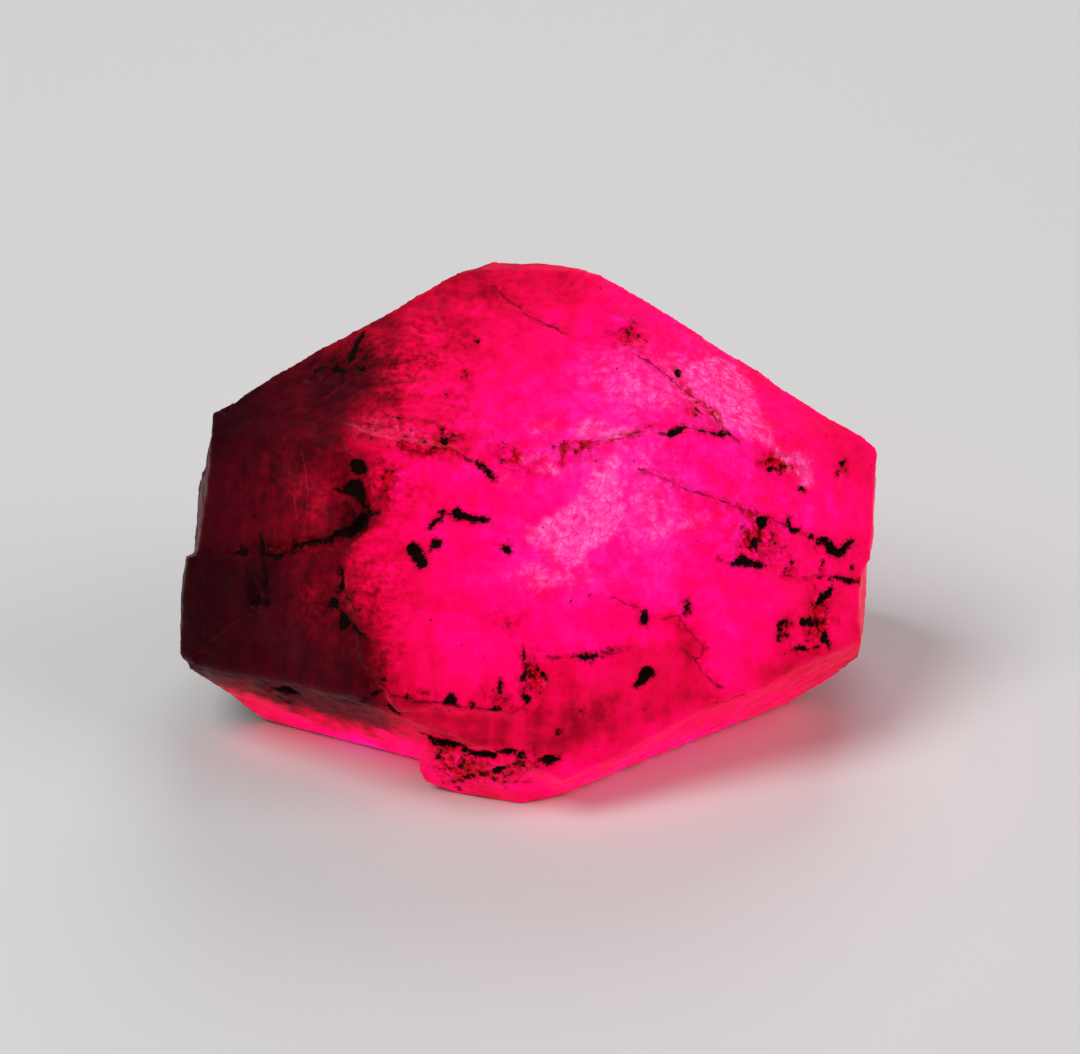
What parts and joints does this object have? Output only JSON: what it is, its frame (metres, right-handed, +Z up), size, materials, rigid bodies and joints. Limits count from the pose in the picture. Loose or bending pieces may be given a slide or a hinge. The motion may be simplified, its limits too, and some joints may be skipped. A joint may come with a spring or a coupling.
{
  "type": "raw ruby crystal",
  "caption": "Raw ruby crystal: a squat faceted barrel of red corundum with ledges, cracks and pits, lying on a flat broken base.",
  "frame": {"origin": "middle of the bounding box in X and Y, on the flat broken base that the stone rests on", "axes": "+X along the stone's length to the right, +Y to the back, +Z up from the base"},
  "size_m": [0.0636, 0.041, 0.0401],
  "materials": {
    "ruby": "worn vitreous"
  },
  "bodies": {
    "root": {"ruby_crystal": "ruby"}
  },
  "joints": []
}
